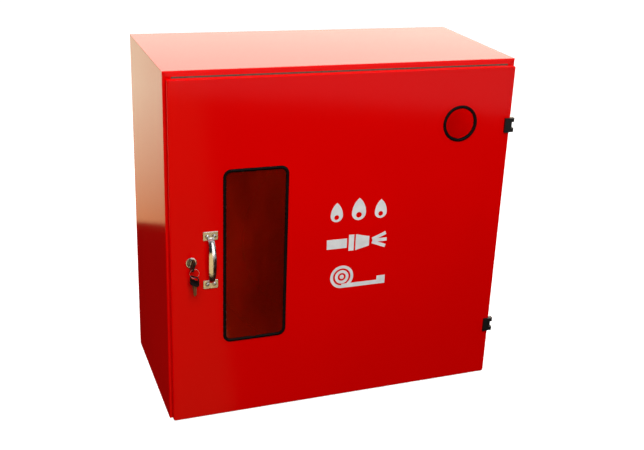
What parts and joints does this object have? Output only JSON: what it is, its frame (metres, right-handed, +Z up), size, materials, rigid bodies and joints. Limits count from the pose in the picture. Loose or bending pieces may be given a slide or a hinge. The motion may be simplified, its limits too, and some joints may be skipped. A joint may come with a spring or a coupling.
{
  "type": "fire hose reel cabinet",
  "caption": "Red sheet-metal wall cabinet with a hinged, lockable glazed door, holding a fixed reel of rolled fire hose with a nozzle and a stop valve.",
  "frame": {"origin": "centre of the underside of the cabinet body", "axes": "+X to the hinge side, +Y to the wall at the back, +Z up; the door faces -Y"},
  "size_m": [0.7035, 0.3712, 0.7],
  "materials": {
    "red_paint": "gloss signal-red powder coat",
    "reel_paint": "gloss red powder coat, a little darker",
    "seal_foam": "matt grey-brown closed-cell foam",
    "black_rubber": "satin black extruded rubber",
    "black_hinge": "satin black coated zinc casting",
    "black_plastic": "satin black moulded plastic",
    "tinted_pane": "glossy bronze-tinted sheet",
    "white_vinyl": "cut white vinyl film",
    "chrome": "bright chrome plate",
    "bright_steel": "bright zinc-plated steel",
    "grey_steel": "satin dark grey paint",
    "galvanised_pipe": "dull galvanised steel",
    "brass": "turned brass",
    "key_brass": "nickel-worn key brass",
    "red_vinyl": "dipped red vinyl",
    "white_nylon": "natural nylon",
    "hose_rubber": "red fire hose rubber cover"
  },
  "bodies": {
    "cabinet": {"top_panel": "red_paint", "bottom_panel": "red_paint", "left_side_panel": "red_paint", "right_side_panel": "red_paint", "back_panel": "red_paint", "door_seal": "seal_foam", "body_hinge_leaves": "black_hinge", "hinge_pins": "bright_steel", "body_hinge_screws": "bright_steel", "reel_bracket": "grey_steel", "bracket_nuts": "bright_steel", "spindle": "bright_steel", "spindle_cap": "bright_steel", "inlet_elbow": "brass", "cross_pipe": "galvanised_pipe", "corner_elbow": "brass", "riser_pipe": "galvanised_pipe", "valve_body": "brass", "inlet_socket": "brass", "pipe_grommet": "black_rubber", "pipe_clip": "grey_steel"},
    "valve_handle": {"valve_ball": "chrome", "valve_stem": "brass", "valve_lever": "bright_steel", "lever_grip": "red_vinyl", "lever_nut": "bright_steel"},
    "reel": {"front_disc": "reel_paint", "rear_disc": "reel_paint", "drum_core": "reel_paint", "tie_rods": "bright_steel", "reel_bushes": "white_nylon", "water_swivel": "brass", "hose_coil": "hose_rubber", "hose_tail": "hose_rubber", "hose_ferrule": "brass", "nozzle_body": "brass", "nozzle_clip": "bright_steel"},
    "nozzle": {"nozzle_tip": "black_plastic"},
    "door": {"door_panel": "red_paint", "window_pane": "tinted_pane", "window_rubber": "black_rubber", "port_rubber": "black_rubber", "flame_sign": "white_vinyl", "hose_sign": "white_vinyl", "reel_sign": "white_vinyl", "pull_handle": "chrome", "handle_screws": "bright_steel", "handle_nuts": "bright_steel", "door_hinge_leaves": "black_hinge", "door_hinge_screws": "bright_steel", "lock_housing": "chrome", "lock_nut": "bright_steel"},
    "lock": {"lock_plug": "chrome", "lock_cam": "bright_steel", "cam_screw": "bright_steel"},
    "key": {"key_blade": "bright_steel", "key_head": "black_plastic"},
    "ring": {"key_ring": "bright_steel"},
    "spare_key": {"spare_key_blade": "key_brass", "spare_key_head": "black_plastic"}
  },
  "joints": [
    {"name": "door_swing", "type": "hinge", "parent": "cabinet", "child": "door", "pos_m": [0.3495, -0.171, 0.3435], "axis": [0, 0, 1], "range_deg": [0, 120]},
    {"name": "lock_turn", "type": "hinge", "parent": "door", "child": "lock", "pos_m": [-0.307, -0.178, 0.34], "axis": [0, 1, 0], "range_deg": [0, 90]},
    {"name": "key_slide", "type": "slide", "parent": "lock", "child": "key", "axis": [0, -1, 0], "range_m": [0, 0.022]},
    {"name": "ring_swing", "type": "hinge", "parent": "key", "child": "ring", "pos_m": [-0.3056, -0.2, 0.33541], "axis": [1, 0, 0], "range_deg": [-45, 10]},
    {"name": "spare_key_swing", "type": "hinge", "parent": "ring", "child": "spare_key", "pos_m": [-0.3056, -0.2, 0.31841], "axis": [1, 0, 0], "range_deg": [-40, 10]},
    {"name": "valve_turn", "type": "hinge", "parent": "cabinet", "child": "valve_handle", "pos_m": [0.3, 0.105, 0.095], "axis": [0, 1, 0], "range_deg": [0, 90]},
    {"name": "reel_spin", "type": "hinge", "parent": "cabinet", "child": "reel", "pos_m": [0, -0.0244, 0.345], "axis": [0, 1, 0], "continuous": true},
    {"name": "nozzle_twist", "type": "hinge", "parent": "reel", "child": "nozzle", "pos_m": [-0.20655, -0.0244, 0.46425], "axis": [-0.5, 0, -0.866], "range_deg": [0, 180]}
  ]
}
